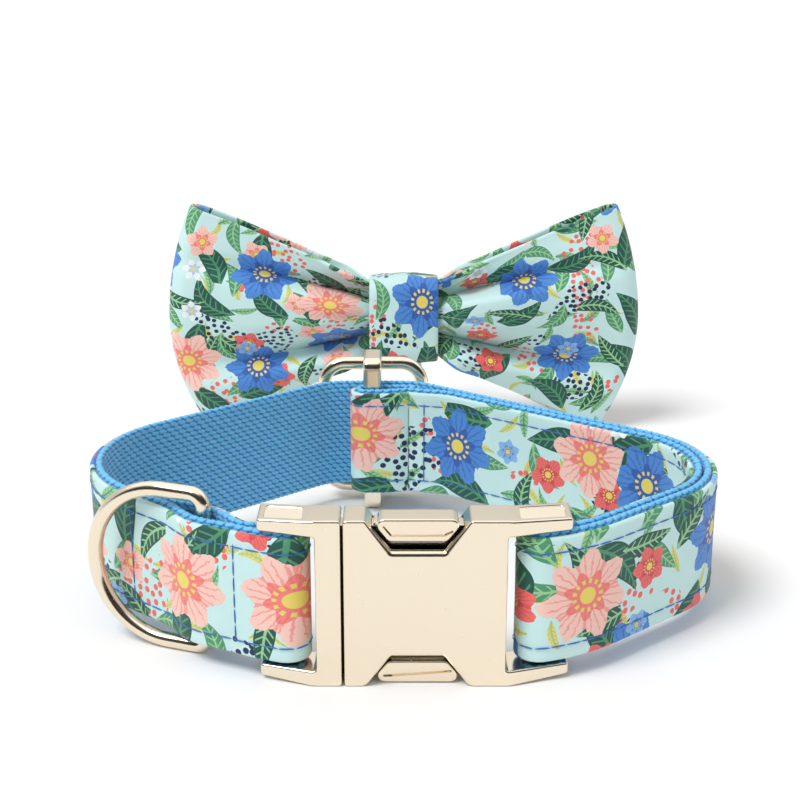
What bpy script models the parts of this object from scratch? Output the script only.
"""A pet collar with a side-release metal buckle, and the bow tie that belongs to it.

The collar stands on its lower edge as a closed loop. The buckle is at the front (-Y), the strap
adjuster at the back, and the bow stands on its lower corners behind it. Lengths are metres, +Z is up.
The middle of the whole object's base is the origin.
"""

import math

import bmesh
import bpy
import numpy as np
from mathutils import Vector

# Strap: nylon webbing with a printed cover sewn on one face
STRAP_WIDTH = 0.025
WEBBING_THICKNESS = 0.0015
COVER_THICKNESS = 0.001
COVER_GAP = 0.00025
LAYER_GAP = 0.0003
STRAP_SIDE_ROOM = 0.0003
SLOPE_PROBE = 0.0006
SECTION_STEP = 0.003
SPREAD_LENGTH = 0.009

# Loop in plan
LOOP_WIDTH = 0.122
LOOP_DEPTH = 0.0863
LEFT_BEND_RADIUS = 0.0243
RIGHT_BEND_RADIUS = 0.0212
BACK_BEND_RADIUS = 0.010
FRONT_BEND_RADIUS = 0.035
FRONT_RUN = 0.008
BACK_FLAT = 0.020

# Buckle, seen from the front: the seam between its halves stands left of the loop's middle
BUCKLE_THICKNESS = 0.0080
HOUSING_LENGTH = 0.0286
BASE_LENGTH = 0.0045
SEAM_X = -0.0111
SEAM_GAP = 0.0004
MALE_ARM_LENGTH = 0.0102
FEMALE_ARM_LENGTH = 0.0115
ARM_HEIGHT = 0.0030
ARM_TAPER = 0.0008
ARM_BEND = math.radians(18.0)
ARM_ROOT = 0.0010
BAR_RADIUS = 0.0013
BAR_CLEARANCE = 0.0003
MALE_SLOT = 0.0009
FEMALE_SLOT = 0.0016
PLATE_WALL = 0.0012
END_WALL = 0.0035
TOP_WALL = 0.0015
NOTCH_MIDDLE = 0.0130
NOTCH_WIDTH = 0.0185
NOTCH_FLOOR = 0.0093
NOTCH_DEPTH = 0.0057
NOTCH_LIP = 0.0006
FOOT_ROUND = 0.0018
TONGUE_LENGTH = 0.0225
TONGUE_HEIGHT = 0.0060

# Release levers inside the buckle
RUNNING_GAP = 0.0003
KNUCKLE_RADIUS = 0.0018
LEVER_BELLY = 0.0022
TAB_LENGTH = 0.0148
TAB_SINK = 0.0002
NOSE_LENGTH = 0.0032
LEVER_SWING = math.radians(13.0)

# D ring, held between the strap and its folded end
RING_WIRE_RADIUS = 0.00145
RING_HEIGHT = 0.0330
RING_DEPTH = 0.0262
RING_CORNER = 0.0025
RING_AT = 0.0178
RING_STAND_OFF = math.radians(18.5)
FLAP_LENGTH = 0.0370

# Strap adjuster: a wire frame and a centre bar hooked over its two rails
SLIDER_X = -0.0073
SLIDER_WIDTH = 0.0257
SLIDER_OPENING = 0.0270
SLIDER_CORNER = 0.0050
RAIL_RADIUS = 0.0015
STRIP_WIDTH = 0.0036
STRIP_THICKNESS = 0.0014
HOOK_CLEARANCE = 0.00025
STRIP_CORNER = 0.0016
TURN_INSET = 0.0004
HOOK_TURN = math.radians(140.0)
TAIL_LENGTH = 0.0130
TAIL_SPREAD = 0.0100

# Bow
BOW_LENGTH = 0.1250
BOW_HEIGHT = 0.0620
BOW_HALF_DEPTH = 0.0058
BOW_END_RADIUS = 0.0045
BOW_CLOTH = 0.0012
BOW_TOP_CUT = 0.0065
BOW_FOOT_CUT = 0.0100
BOW_BACK_TOP = 0.0012
BOW_BACK_FOOT = 0.0022
FRONT_FOLD = 0.0042
BACK_FOLD = 0.0026
GATHER_ROUNDING_SHARE = 0.60
GATHER_SPREAD_SHARE = 0.15
BOW_LEAN = math.radians(5.0)
BOW_X = 0.0
BOW_Y = 0.1020
BOW_STEP = 0.0040
BOW_ROWS = 14

# Knot band and the elastic loop on its back
KNOT_WIDTH = 0.0183
KNOT_WALL = 0.0014
KNOT_CORNER = 0.0042
KNOT_BARREL = 0.0006
ELASTIC_WIDTH = 0.0100
ELASTIC_WALL = 0.0012
ELASTIC_DEPTH = 0.0075
ELASTIC_CORNER = 0.0024
ELASTIC_DROP = 0.0032
CLOTH_GAP = 0.0003

# One wing of the bow from the middle outwards:
# share of the half length, of the height, of the half depth, of the fold depth
WING_SECTIONS = (
    ("along", "height", "depth", "fold"),
    (0.00, 0.30, 0.56, 0.52),
    (0.15, 0.31, 0.58, 0.55),
    (0.25, 0.41, 0.80, 1.00),
    (0.40, 0.54, 1.00, 0.92),
    (0.60, 0.70, 1.04, 0.58),
    (0.80, 0.86, 0.92, 0.27),
    (1.00, 1.00, 0.78, 0.10),
)

# Bend corners of the strap's outer layer on the loop's two sides:
# share of the loop's width from its middle, share of its depth from the buckle
BEND_CORNERS = (
    ("side", "width_share", "depth_share"),
    (-1, -0.611, 0.450),
    (1, 0.596, 0.417),
)

# Points closer than this are one
WELD = 0.00001

# What fits over or between other pieces: the strap runs between the buckle's arms, above the table
STRAP_LIFT = ARM_HEIGHT + STRAP_SIDE_ROOM
BUCKLE_HEIGHT = STRAP_WIDTH + 2 * STRAP_LIFT
COVER_OFFSET = WEBBING_THICKNESS / 2 + COVER_GAP + COVER_THICKNESS / 2
OUTER_FACE = COVER_OFFSET + COVER_THICKNESS / 2
PAIR_OFFSET = WEBBING_THICKNESS + LAYER_GAP
FOLD_RADIUS = BAR_RADIUS + BAR_CLEARANCE + WEBBING_THICKNESS / 2
FOLD_OUTSIDE = FOLD_RADIUS + OUTER_FACE
RING_GAP = 2 * (RING_WIRE_RADIUS + BAR_CLEARANCE) + WEBBING_THICKNESS
RING_BULGE = (RING_GAP - PAIR_OFFSET) / 2
TAIL_OFFSET = OUTER_FACE + LAYER_GAP + WEBBING_THICKNESS / 2
TURN_RADIUS = STRIP_THICKNESS / 2 + BAR_CLEARANCE + WEBBING_THICKNESS / 2
HOOK_RADIUS = RAIL_RADIUS + HOOK_CLEARANCE + STRIP_THICKNESS / 2
RAIL_FOOT = HOOK_RADIUS + STRIP_THICKNESS / 2
SLIDER_LIFT = RAIL_FOOT + RAIL_RADIUS + LAYER_GAP
BUCKLE_Y = -LOOP_DEPTH / 2
BACK_Y = LOOP_DEPTH / 2
SLIDER_Y = BACK_Y + OUTER_FACE + LAYER_GAP + RAIL_RADIUS
PIVOT_X = -SEAM_GAP / 2 - BASE_LENGTH / 2
PIVOT_DROP = TOP_WALL + RUNNING_GAP + KNUCKLE_RADIUS
CAVITY_HALF = BUCKLE_THICKNESS / 2 - PLATE_WALL


def unit(vector):
    """The vector at length one."""
    return vector / np.linalg.norm(vector)


def rounded_path(corners, closed=False, turn_step=math.radians(15.0)):
    """Plane points through corners (x, y, radius), each corner turned on an arc of its radius."""
    points = []
    count = len(corners)
    for i, (x, y, radius) in enumerate(corners):
        here = np.array((x, y))
        if radius == 0 or (not closed and i in (0, count - 1)):
            points.append(here)
            continue
        back = unit(np.array(corners[i - 1][:2]) - here)
        ahead = unit(np.array(corners[(i + 1) % count][:2]) - here)
        half = math.acos(np.clip(back @ ahead, -1.0, 1.0)) / 2
        centre = here + unit(back + ahead) * radius / math.sin(half)
        spoke = here + back * radius / math.tan(half) - centre
        side = math.copysign(1.0, ahead[0] * back[1] - ahead[1] * back[0])
        turn = side * (math.pi - 2 * half)
        steps = max(2, math.ceil(abs(turn) / turn_step))
        for k in range(steps + 1):
            points.append(centre + rotated(spoke, turn * k / steps))
    return np.array(points)


def rotated(vector, angle):
    """A plane vector turned by an angle."""
    c, s = math.cos(angle), math.sin(angle)
    return np.array((c * vector[0] - s * vector[1], s * vector[0] + c * vector[1]))


class Line:
    """A plane line that can be read at any distance along it."""

    def __init__(self, points, closed=False):
        self.points = np.vstack((points, points[:1])) if closed else points
        runs = np.linalg.norm(np.diff(self.points, axis=0), axis=1)
        self.marks = np.concatenate(((0.0,), np.cumsum(runs)))
        self.length = self.marks[-1]

    def at(self, distance):
        """The point at a distance."""
        return np.array([np.interp(distance, self.marks, self.points[:, k]) for k in (0, 1)])

    def left(self, distance):
        """The unit vector to the left of the line's run."""
        low, high = max(0.0, distance - SLOPE_PROBE), min(self.length, distance + SLOPE_PROBE)
        return rotated(unit(self.at(high) - self.at(low)), math.pi / 2)

    def beside(self, distance, offset):
        """The point at a distance, moved to the left by an offset."""
        return self.at(distance) + self.left(distance) * offset

    def distance_to(self, x, y_over):
        """How far along the line its stretch beyond y_over passes x."""
        samples = np.linspace(0.0, self.length, 4000)
        places = np.array([self.at(d) for d in samples])
        away = np.where(places[:, 1] > y_over, abs(places[:, 0] - x), np.inf)
        return samples[int(np.argmin(away))]


def steps_between(start, end, step):
    """Distances from start to end, evenly spread about a step apart."""
    return np.linspace(start, end, max(2, math.ceil(abs(end - start) / step) + 1))


def ease(t):
    """A smooth rise from 0 to 1."""
    t = min(1.0, max(0.0, t))
    return t * t * (3 - 2 * t)


def arc(centre, start, turn, steps):
    """Points round a centre, from its spoke start through a turn."""
    return [centre + rotated(start, turn * k / steps) for k in range(1, steps)]


def bar_place(side):
    """Plan place of a buckle bar: side is -1 for the male half's bar and 1 for the female half's."""
    if side < 0:
        edge, slot = SEAM_X - SEAM_GAP / 2 - BASE_LENGTH, MALE_SLOT
    else:
        edge, slot = SEAM_X + SEAM_GAP / 2 + HOUSING_LENGTH, FEMALE_SLOT
    reach = FOLD_OUTSIDE + slot
    return np.array((edge + side * reach, BUCKLE_Y + (reach - ARM_ROOT) * math.tan(ARM_BEND)))


def outer_route():
    """Middle of the webbing's outer layer in plan, from the male bar round the back to the female bar."""
    ends = []
    for side, width_share, depth_share in BEND_CORNERS[1:]:
        away = np.array((side * math.cos(ARM_BEND), math.sin(ARM_BEND)))
        out = np.array((side * math.sin(ARM_BEND), -math.cos(ARM_BEND)))
        start = bar_place(side) + out * FOLD_RADIUS
        front = start + away * FRONT_RUN
        corner = np.array((width_share * LOOP_WIDTH, BUCKLE_Y + depth_share * LOOP_DEPTH))
        turn = math.acos(np.clip(unit(corner - front) @ away, -1.0, 1.0))
        front_radius = min(FRONT_BEND_RADIUS, FRONT_RUN / math.tan(turn / 2))
        ends.append((start, (*front, front_radius), corner))
    (start, front_left, left), (end, front_right, right) = ends
    corners = (
        (*start, 0),
        front_left,
        (*left, LEFT_BEND_RADIUS),
        (SLIDER_X - BACK_FLAT / 2, BACK_Y, BACK_BEND_RADIUS),
        (SLIDER_X + BACK_FLAT / 2, BACK_Y, BACK_BEND_RADIUS),
        (*right, RIGHT_BEND_RADIUS),
        front_right,
        (*end, 0),
    )
    return Line(rounded_path(corners, turn_step=math.radians(3.0)))


def strap_line(route):
    """Middle of the whole webbing from its sewn front end to its sewn back end, and the bar's distance."""
    turn_at = route.distance_to(SLIDER_X - STRIP_WIDTH / 2 + TURN_INSET, BACK_Y / 2)

    def ring_hump(d):
        return ease(1 - abs(d - RING_AT) / SPREAD_LENGTH)

    def flap_gap(d):
        at_bar = ease(1 - d / SPREAD_LENGTH)
        pair = PAIR_OFFSET + (2 * FOLD_RADIUS - PAIR_OFFSET) * at_bar
        return pair + ring_hump(d) * (RING_GAP - RING_BULGE - PAIR_OFFSET)

    def inner_gap(d):
        at_bar = ease(1 - (route.length - d) / SPREAD_LENGTH)
        past_tail = ease((d - turn_at - TAIL_LENGTH) / TAIL_SPREAD)
        at_turn = ease(1 - (d - turn_at - STRIP_WIDTH) / SPREAD_LENGTH)
        beside_tail = TAIL_OFFSET + PAIR_OFFSET + at_turn * (2 * TURN_RADIUS - PAIR_OFFSET)
        pair = PAIR_OFFSET + (2 * FOLD_RADIUS - PAIR_OFFSET) * at_bar
        return beside_tail * (1 - past_tail) + pair * past_tail

    points = []
    for d in steps_between(FLAP_LENGTH, 0.0, SECTION_STEP):
        points.append(route.beside(d, -flap_gap(d)))
    front_spoke = -route.left(0.0) * FOLD_RADIUS
    points += arc(bar_place(-1), front_spoke, -math.pi, 8)
    for d in steps_between(0.0, route.length, SECTION_STEP):
        points.append(route.beside(d, ring_hump(d) * RING_BULGE))
    end_spoke = route.left(route.length) * FOLD_RADIUS
    points += arc(bar_place(1), end_spoke, -math.pi, 8)
    for d in steps_between(route.length, turn_at, SECTION_STEP):
        points.append(route.beside(d, -inner_gap(d)))
    turn_centre = route.beside(turn_at, -TAIL_OFFSET - TURN_RADIUS)
    points += arc(turn_centre, -route.left(turn_at) * TURN_RADIUS, -math.pi, 8)
    for d in steps_between(turn_at, turn_at + TAIL_LENGTH, SECTION_STEP):
        points.append(route.beside(d, -TAIL_OFFSET))
    return np.array(points), turn_centre


def offset_line(points, offset):
    """A line beside another, to its left."""
    runs = np.gradient(points, axis=0)
    return np.array([p + rotated(unit(r), math.pi / 2) * offset for p, r in zip(points, runs)])


def strap_foot(y):
    """Height of the strap's lower edge: it climbs from the buckle to the adjuster's hook."""
    return STRAP_LIFT + (SLIDER_LIFT - STRAP_LIFT) * (y - BUCKLE_Y) / LOOP_DEPTH


def material(name, colour, metallic, roughness):
    """A Principled material."""
    made = bpy.data.materials.new(name)
    made.use_nodes = True
    shader = made.node_tree.nodes["Principled BSDF"]
    shader.inputs["Base Color"].default_value = (*colour, 1.0)
    shader.inputs["Metallic"].default_value = metallic
    shader.inputs["Roughness"].default_value = roughness
    return made


def add_object(name, data, surface, parent):
    """An object that holds a mesh or a curve."""
    made = bpy.data.objects.new(name, data)
    bpy.context.collection.objects.link(made)
    made.parent = parent
    if surface:
        data.materials.append(surface)
    return made


def add_mesh(name, bm, surface, parent):
    """An object from a bmesh, with its round faces smooth."""
    bmesh.ops.recalc_face_normals(bm, faces=bm.faces)
    if bm.calc_volume(signed=True) < 0:
        bmesh.ops.reverse_faces(bm, faces=bm.faces)
    mesh = bpy.data.meshes.new(name)
    bm.to_mesh(mesh)
    bm.free()
    mesh.shade_smooth()
    mesh.set_sharp_from_angle(angle=math.radians(35.0))
    return add_object(name, mesh, surface, parent)


def thickened_sheet(name, place, counts, closed, thickness, surface, parent):
    """A cloth or metal strip: a grid put in place by a function of its two shares, then thickened."""
    bm = bmesh.new()
    bmesh.ops.create_grid(bm, x_segments=counts[0], y_segments=counts[1], size=0.5)
    for vertex in bm.verts:
        vertex.co = place(vertex.co.x + 0.5, vertex.co.y + 0.5)
    if closed:
        bmesh.ops.remove_doubles(bm, verts=bm.verts, dist=WELD)
    made = add_mesh(name, bm, surface, parent)
    wall = made.modifiers.new("wall", "SOLIDIFY")
    wall.thickness = thickness
    wall.offset = 0.0
    wall.use_even_offset = True
    return made


def outline_block(outline, low, high, split_x=None, shear=0.0):
    """A block from an outline in X and Z, through Y from low to high, its part beyond split_x bent back."""
    bm = bmesh.new()
    face = bm.faces.new([bm.verts.new((x, low, z)) for x, z in outline])
    grown = bmesh.ops.extrude_face_region(bm, geom=[face])["geom"]
    moved = [g for g in grown if isinstance(g, bmesh.types.BMVert)]
    bmesh.ops.translate(bm, verts=moved, vec=(0, high - low, 0))
    if split_x is not None:
        every = bm.verts[:] + bm.edges[:] + bm.faces[:]
        bmesh.ops.bisect_plane(bm, geom=every, plane_co=(split_x, 0, 0), plane_no=(1, 0, 0))
        for vertex in bm.verts:
            beyond = (vertex.co.x - split_x) * math.copysign(1.0, shear)
            vertex.co.y += max(0.0, beyond) * math.tan(abs(shear))
        bmesh.ops.remove_doubles(bm, verts=bm.verts, dist=WELD)
    return bm


def box(low, high):
    """A plain block between two corners."""
    bm = bmesh.new()
    bmesh.ops.create_cube(bm, size=1.0)
    size = Vector(high) - Vector(low)
    bmesh.ops.scale(bm, vec=size, verts=bm.verts)
    bmesh.ops.translate(bm, vec=(Vector(low) + Vector(high)) / 2, verts=bm.verts)
    return bm


def rod(start, end, radius, sides):
    """A round bar between two points."""
    start, end = Vector(start), Vector(end)
    bm = bmesh.new()
    bmesh.ops.create_cone(
        bm, segments=sides, radius1=radius, radius2=radius, depth=(end - start).length, cap_ends=True
    )
    bmesh.ops.rotate(bm, verts=bm.verts, matrix=Vector((0, 0, 1)).rotation_difference(end - start).to_matrix())
    bmesh.ops.translate(bm, vec=(start + end) / 2, verts=bm.verts)
    return bm


def combine(target, bm, operation):
    """Adds a shape to a piece or cuts it away."""
    tool = add_mesh(f"{target.name}_{operation.lower()}_{len(target.modifiers)}", bm, None, target.parent)
    tool.hide_render = True
    tool.display_type = "WIRE"
    step = target.modifiers.new(operation.lower(), "BOOLEAN")
    step.operation = operation
    step.solver = "EXACT"
    step.object = tool


def shifted(corners, x):
    """Corners moved along X."""
    return [(cx + x, cz, radius) for cx, cz, radius in corners]


def notch_corners():
    """Finger notch in the buckle's lower edge, left to right, measured from the seam."""
    low, high = NOTCH_MIDDLE - NOTCH_WIDTH / 2, NOTCH_MIDDLE + NOTCH_WIDTH / 2
    floor_low, floor_high = NOTCH_MIDDLE - NOTCH_FLOOR / 2, NOTCH_MIDDLE + NOTCH_FLOOR / 2
    return [
        (low, 0, FOOT_ROUND),
        (floor_low, NOTCH_DEPTH, NOTCH_LIP),
        (floor_high, NOTCH_DEPTH, NOTCH_LIP),
        (high, 0, FOOT_ROUND),
    ]


def arm_corners(edge, side, length):
    """Outline of the two arms beyond an edge, from the lower arm's root to the upper arm's root."""
    tip = edge + side * length
    top = BUCKLE_HEIGHT
    return [
        (edge, 0, 0),
        (tip, ARM_TAPER, NOTCH_LIP),
        (tip, ARM_HEIGHT, NOTCH_LIP),
        (edge, ARM_HEIGHT, NOTCH_LIP),
        (edge, top - ARM_HEIGHT, NOTCH_LIP),
        (tip, top - ARM_HEIGHT, NOTCH_LIP),
        (tip, top - ARM_TAPER, NOTCH_LIP),
        (edge, top, 0),
    ]


def buckle_bar(target, side):
    """Adds the round bar that the strap folds over."""
    x, y = bar_place(side)
    ends = ((x, y, ARM_HEIGHT / 2), (x, y, BUCKLE_HEIGHT - ARM_HEIGHT / 2))
    combine(target, rod(*ends, BAR_RADIUS, 12), "UNION")


def buckle_female(surface, parent):
    """Hollow housing of the buckle with its finger notches, two arms and the strap's bar."""
    left = SEAM_X + SEAM_GAP / 2
    right = left + HOUSING_LENGTH
    lower = notch_corners()
    upper = [(x, BUCKLE_HEIGHT - z, NOTCH_LIP) for x, z, _ in reversed(lower)]
    corners = [
        (left, 0, NOTCH_LIP),
        *shifted(lower, left),
        *arm_corners(right, 1, FEMALE_ARM_LENGTH),
        *shifted(upper, left),
        (left, BUCKLE_HEIGHT, NOTCH_LIP),
    ]
    outline = rounded_path(corners, closed=True, turn_step=math.radians(30.0))
    low, high = BUCKLE_Y - BUCKLE_THICKNESS / 2, BUCKLE_Y + BUCKLE_THICKNESS / 2
    block = outline_block(outline, low, high, right + ARM_ROOT, ARM_BEND)
    made = add_mesh("buckle_housing", block, surface, parent)
    hollow = box(
        (left - END_WALL, BUCKLE_Y - CAVITY_HALF, TOP_WALL),
        (right - END_WALL, BUCKLE_Y + CAVITY_HALF, BUCKLE_HEIGHT - TOP_WALL),
    )
    combine(made, hollow, "DIFFERENCE")
    buckle_bar(made, 1)
    return made


def buckle_male(surface, parent):
    """Plug half of the buckle: a base with two arms, the strap's bar, a tongue and two lever sockets."""
    right = SEAM_X - SEAM_GAP / 2
    left = right - BASE_LENGTH
    corners = [
        (right, 0, NOTCH_LIP),
        *arm_corners(left, -1, MALE_ARM_LENGTH),
        (right, BUCKLE_HEIGHT, NOTCH_LIP),
    ]
    outline = rounded_path(corners, closed=True, turn_step=math.radians(30.0))
    low, high = BUCKLE_Y - BUCKLE_THICKNESS / 2, BUCKLE_Y + BUCKLE_THICKNESS / 2
    block = outline_block(outline, low, high, left - ARM_ROOT, -ARM_BEND)
    made = add_mesh("buckle_plug", block, surface, parent)
    buckle_bar(made, -1)
    blade = CAVITY_HALF - RUNNING_GAP
    middle = BUCKLE_HEIGHT / 2
    tongue = box(
        (right - BASE_LENGTH / 2, BUCKLE_Y - blade, middle - TONGUE_HEIGHT / 2),
        (right + TONGUE_LENGTH, BUCKLE_Y + blade, middle + TONGUE_HEIGHT / 2),
    )
    combine(made, tongue, "UNION")
    socket = KNUCKLE_RADIUS + RUNNING_GAP
    swing_room = 2 * BASE_LENGTH * math.sin(LEVER_SWING)
    for side in (-1, 1):
        pivot_z = middle + side * (middle - PIVOT_DROP)
        ends = [(SEAM_X + PIVOT_X, BUCKLE_Y + y, pivot_z) for y in (-CAVITY_HALF, CAVITY_HALF)]
        combine(made, rod(*ends, socket, 16), "DIFFERENCE")
        reaches = sorted((side * socket, -side * (LEVER_BELLY + swing_room)))
        slot = box(
            (SEAM_X + PIVOT_X, BUCKLE_Y - CAVITY_HALF, pivot_z + reaches[0]),
            (right + BASE_LENGTH, BUCKLE_Y + CAVITY_HALF, pivot_z + reaches[1]),
        )
        combine(made, slot, "DIFFERENCE")
    return made


def release_lever(name, side, surface, parent):
    """One sprung lever: a round knuckle, a tab in the finger notch and a latching nose."""
    wall_left = NOTCH_MIDDLE - NOTCH_WIDTH / 2 + (NOTCH_WIDTH - NOTCH_FLOOR) / 2 * TOP_WALL / NOTCH_DEPTH
    tab_low = wall_left + RUNNING_GAP + SEAM_GAP / 2 - PIVOT_X
    tab_high = tab_low + TAB_LENGTH
    nose = tab_high + NOSE_LENGTH
    top = PIVOT_DROP - TAB_SINK
    round_end = KNUCKLE_RADIUS * 0.99
    corners = [
        (-KNUCKLE_RADIUS, -KNUCKLE_RADIUS, round_end),
        (tab_low, -LEVER_BELLY, 0),
        (tab_high, -LEVER_BELLY, NOTCH_LIP),
        (nose, -KNUCKLE_RADIUS / 2, NOTCH_LIP),
        (nose, KNUCKLE_RADIUS, NOTCH_LIP),
        (tab_high, KNUCKLE_RADIUS, 0),
        (tab_high, top, NOTCH_LIP),
        (tab_low, top, NOTCH_LIP),
        (tab_low, KNUCKLE_RADIUS, 0),
        (-KNUCKLE_RADIUS, KNUCKLE_RADIUS, round_end),
    ]
    outline = [(x, side * z) for x, z in rounded_path(corners, closed=True)]
    blade = CAVITY_HALF - RUNNING_GAP
    made = add_mesh(name, outline_block(outline, -blade, blade), surface, parent)
    middle = BUCKLE_HEIGHT / 2
    made.location = (SEAM_X + PIVOT_X, BUCKLE_Y, middle + side * (middle - PIVOT_DROP))
    return made


def wire(name, points, radius, surface, parent):
    """A closed round wire through points."""
    curve = bpy.data.curves.new(name, "CURVE")
    curve.dimensions = "3D"
    spline = curve.splines.new("POLY")
    spline.points.add(len(points) - 1)
    for point, place in zip(spline.points, points):
        point.co = (*place, 1.0)
    spline.use_cyclic_u = True
    curve.bevel_depth = radius
    curve.bevel_resolution = 3
    return add_object(name, curve, surface, parent)


def d_ring(route, surface, parent):
    """Leash ring: its straight side is the hinge, between the strap and its folded end."""
    half = RING_HEIGHT / 2 - RING_WIRE_RADIUS
    depth = RING_DEPTH - 2 * RING_WIRE_RADIUS
    bow = half * 0.99
    corners = [(0, -half, RING_CORNER), (depth, -half, bow), (depth, half, bow), (0, half, RING_CORNER)]
    points = [(x, 0, z) for x, z in rounded_path(corners, closed=True, turn_step=math.radians(11.0))]
    made = wire("d_ring", points, RING_WIRE_RADIUS, surface, parent)
    axis = route.beside(RING_AT, RING_BULGE - RING_GAP / 2)
    out = route.left(RING_AT)
    along = math.atan2(-out[0], out[1])
    made.location = (*axis, RING_HEIGHT / 2)
    made.rotation_euler = (0, 0, along + RING_STAND_OFF)
    return made


def slider_frame(surface, parent):
    """Wire frame of the strap adjuster: it lies against the strap's outer face."""
    half = SLIDER_WIDTH / 2 - RAIL_RADIUS
    low = RAIL_FOOT
    high = RAIL_FOOT + SLIDER_OPENING + 2 * RAIL_RADIUS
    corners = [(SLIDER_X + x, z, SLIDER_CORNER) for x, z in ((-half, low), (half, low), (half, high), (-half, high))]
    points = [(x, SLIDER_Y, z) for x, z in rounded_path(corners, closed=True, turn_step=math.radians(18.0))]
    return wire("slider_frame", points, RAIL_RADIUS, surface, parent)


def slider_bar(bar_y, surface, parent):
    """Centre bar of the adjuster: a strip hooked over both rails, with the strap's sewn end round it."""
    low = RAIL_FOOT
    high = RAIL_FOOT + SLIDER_OPENING + 2 * RAIL_RADIUS
    hook = []
    for rail, side in ((low, -1), (high, 1)):
        turned = [
            rotated(np.array((0, side * HOOK_RADIUS)), -side * HOOK_TURN * k / 8) + (SLIDER_Y, rail)
            for k in range(9)
        ]
        hook.append(turned)
    start, end = hook
    corners = [
        (*start[0], 0),
        (bar_y, start[0][1], STRIP_CORNER),
        (bar_y, end[0][1], STRIP_CORNER),
        (*end[0], 0),
    ]
    points = [*reversed(start[1:]), *rounded_path(corners, turn_step=math.radians(22.5)), *end[1:]]

    def place(u, v):
        y, z = points[round(u * (len(points) - 1))]
        return Vector((SLIDER_X + (v - 0.5) * STRIP_WIDTH, y, z))

    counts = (len(points) - 1, 1)
    return thickened_sheet("slider_bar", place, counts, False, STRIP_THICKNESS, surface, parent)


def strap_piece(name, line, thickness, surface, parent):
    """A band that stands on edge along a plan line."""

    def place(u, v):
        x, y = line[round(u * (len(line) - 1))]
        return Vector((x, y, strap_foot(y) + v * STRAP_WIDTH))

    return thickened_sheet(name, place, (len(line) - 1, 1), False, thickness, surface, parent)


def wing_column(name, along):
    """A column of the wing table at a share of the half length, on a smooth curve through its rows."""
    titles, rows = WING_SECTIONS[0], np.array(WING_SECTIONS[1:])
    marks = rows[:, titles.index("along")]
    values = rows[:, titles.index(name)]
    slopes = np.gradient(values, marks)
    i = min(len(marks) - 2, max(0, int(np.searchsorted(marks, along)) - 1))
    run = marks[i + 1] - marks[i]
    t = (along - marks[i]) / run
    start = values[i] * (1 + 2 * t) * (1 - t) ** 2 + slopes[i] * run * t * (1 - t) ** 2
    return start + values[i + 1] * t * t * (3 - 2 * t) + slopes[i + 1] * run * t * t * (t - 1)


def wing_point(line, distance, height_share):
    """A point of the bow's folded loop, in the bow's own frame: X along it, -Y its front, Z up."""
    x, y = line.at(distance % line.length)
    layer = y / BOW_END_RADIUS
    along = min(1.0, abs(x) / (BOW_LENGTH / 2))
    ridge = math.cos(2 * math.pi * height_share)
    fold = FRONT_FOLD if layer < 0 else BACK_FOLD
    depth = wing_column("depth", along) * BOW_HALF_DEPTH + wing_column("fold", along) * fold * ridge
    cut, extra = (BOW_TOP_CUT, BOW_BACK_TOP) if height_share > 0 else (BOW_FOOT_CUT, BOW_BACK_FOOT)
    in_knot = 1 - ease((along - KNOT_WIDTH / BOW_LENGTH) / GATHER_SPREAD_SHARE)
    depth *= 1 - GATHER_ROUNDING_SHARE * in_knot * height_share**2
    length = 1 - cut * height_share**2 / (BOW_LENGTH / 2)
    half_height = BOW_HEIGHT / 2 - BOW_BACK_FOOT * (height_share < 0) - BOW_BACK_TOP * (height_share > 0)
    behind = (1 + layer) / 2
    half_height = half_height * wing_column("height", along) + extra * behind * ease(along)
    return np.array((x * length, layer * depth, height_share * half_height))


def bow_line():
    """Plan line of the bow's loop before it is gathered, once round both layers."""
    half, radius = BOW_LENGTH / 2, BOW_END_RADIUS
    corners = [(-half, -radius), (half, -radius), (half, radius), (-half, radius)]
    rounded = rounded_path([(x, y, radius * 0.99) for x, y in corners], closed=True, turn_step=math.radians(22.5))
    return Line(rounded, closed=True)


def bow_loop(surface, parent):
    """Both wings of the bow: one cloth loop, folded flat and gathered in the middle."""
    line = bow_line()
    start = line.length / 2
    count = 2 * math.ceil(line.length / BOW_STEP / 2)

    def place(u, v):
        return Vector(wing_point(line, start + u * line.length, 2 * v - 1))

    return thickened_sheet("bow_loop", place, (count, BOW_ROWS), True, BOW_CLOTH, surface, parent)


def gathered_size():
    """Front, back and half height of the gathered cloth that the knot wraps."""
    depth = wing_column("depth", 0.0) * BOW_HALF_DEPTH
    rim = KNOT_WIDTH / BOW_LENGTH
    fold = max(wing_column("fold", 0.0), wing_column("fold", rim))
    depth = max(depth, wing_column("depth", rim) * BOW_HALF_DEPTH)
    height = max(wing_column("height", 0.0), wing_column("height", rim)) * BOW_HEIGHT / 2
    front = depth + fold * FRONT_FOLD + BOW_CLOTH / 2
    back = depth + fold * BACK_FOLD + BOW_CLOTH / 2
    return front, back, height + BOW_BACK_FOOT * ease(rim)


def loop_band(name, low, high, corner, width, barrel, wall, surface, parent):
    """A closed band round X: its middle line is a rounded rectangle between two corners in Y and Z."""
    corners = [(low[0], low[1], corner), (high[0], low[1], corner), (high[0], high[1], corner), (low[0], high[1], corner)]
    line = rounded_path(corners, closed=True, turn_step=math.radians(18.0))
    middle = (np.array(low) + np.array(high)) / 2

    def place(u, v):
        point = line[round(u * len(line)) % len(line)]
        swell = barrel * (1 - (2 * v - 1) ** 2)
        y, z = point + unit(point - middle) * swell
        return Vector(((v - 0.5) * width, y, z))

    return thickened_sheet(name, place, (len(line), 4 if barrel else 1), True, wall, surface, parent)


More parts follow.
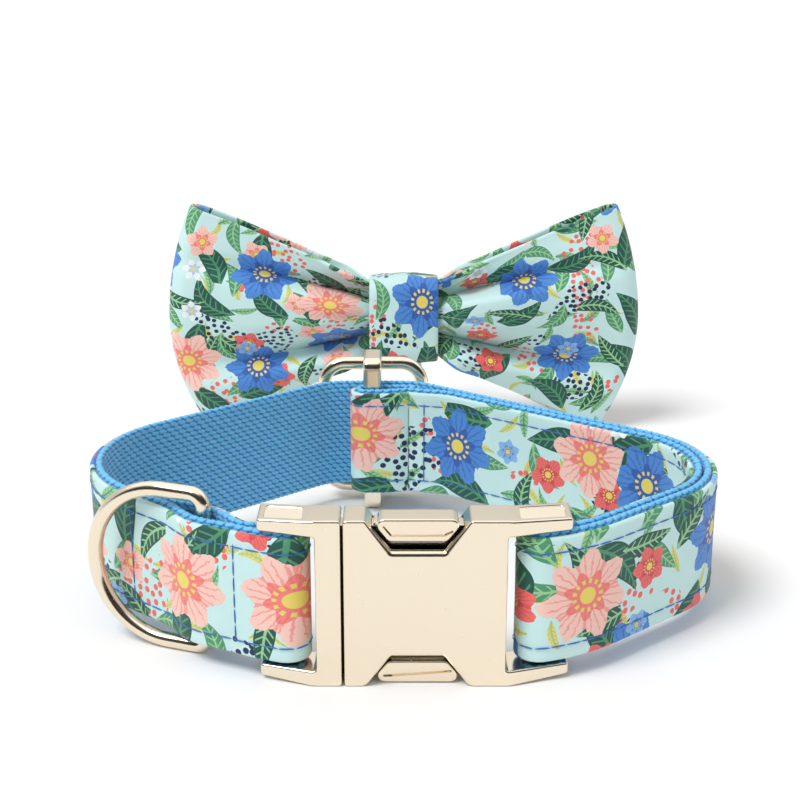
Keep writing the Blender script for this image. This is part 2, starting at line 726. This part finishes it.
def bow(surface, elastic, parent):
    """The bow: its loop, the knot round its middle and the elastic behind the knot."""
    holder = bpy.data.objects.new("bow", None)
    bpy.context.collection.objects.link(holder)
    holder.parent = parent
    loop = bow_loop(surface, holder)
    front, back, height = gathered_size()
    seat = CLOTH_GAP + KNOT_WALL / 2
    knot_low, knot_high = (-front - seat, -height - seat), (back + seat, height + seat)
    loop_band("bow_knot", knot_low, knot_high, KNOT_CORNER, KNOT_WIDTH, KNOT_BARREL, KNOT_WALL, surface, holder)
    behind = knot_high[0] + KNOT_BARREL + KNOT_WALL / 2 + CLOTH_GAP + ELASTIC_WALL / 2
    half = STRAP_WIDTH / 2 + CLOTH_GAP + ELASTIC_CORNER / 2
    low, high = (behind, -half - ELASTIC_DROP), (behind + ELASTIC_DEPTH, half - ELASTIC_DROP)
    loop_band("bow_elastic", low, high, ELASTIC_CORNER, ELASTIC_WIDTH, 0.0, ELASTIC_WALL, elastic, holder)
    holder.rotation_euler = (-BOW_LEAN, 0, 0)
    holder.location = (BOW_X, BOW_Y, 0)
    bpy.context.view_layer.update()
    holder.location.z = -corners_of([loop])[:, 2].min()


def corners_of(objects):
    """Every vertex of some finished objects, in world space."""
    graph = bpy.context.evaluated_depsgraph_get()
    places = []
    for made in objects:
        final = made.evaluated_get(graph)
        mesh = final.to_mesh()
        places += [final.matrix_world @ v.co for v in mesh.vertices]
        final.to_mesh_clear()
    return np.array(places)


def build():
    """The whole object, with the middle of its base at the origin."""
    for old in list(bpy.data.objects):
        bpy.data.objects.remove(old)
    nickel = material("nickel", (0.78, 0.74, 0.68), 1.0, 0.16)
    webbing = material("blue_webbing", (0.09, 0.42, 0.80), 0.0, 0.75)
    print_cloth = material("printed_cloth", (0.55, 0.80, 0.82), 0.0, 0.60)
    elastic = material("white_elastic", (0.85, 0.85, 0.83), 0.0, 0.80)
    base = bpy.data.objects.new("base", None)
    bpy.context.collection.objects.link(base)

    route = outer_route()
    line, turn_centre = strap_line(route)
    strap_piece("webbing_strap", line, WEBBING_THICKNESS, webbing, base)
    strap_piece("printed_cover", offset_line(line, COVER_OFFSET), COVER_THICKNESS, print_cloth, base)
    buckle_female(nickel, base)
    buckle_male(nickel, base)
    release_lever("upper_lever", 1, nickel, base)
    release_lever("lower_lever", -1, nickel, base)
    d_ring(route, nickel, base)
    slider_frame(nickel, base)
    slider_bar(turn_centre[1], nickel, base)
    bow(print_cloth, elastic, base)

    bpy.context.view_layer.update()
    shown = [o for o in bpy.data.objects if o.type in {"MESH", "CURVE"} and not o.hide_render]
    places = corners_of(shown)
    middle = (places.min(axis=0) + places.max(axis=0)) / 2
    base.location = (-middle[0], -middle[1], -places[:, 2].min())
    bpy.context.view_layer.update()
    print("strap length", round(Line(line).length, 4), "outer loop", round(route.length, 4))


build()
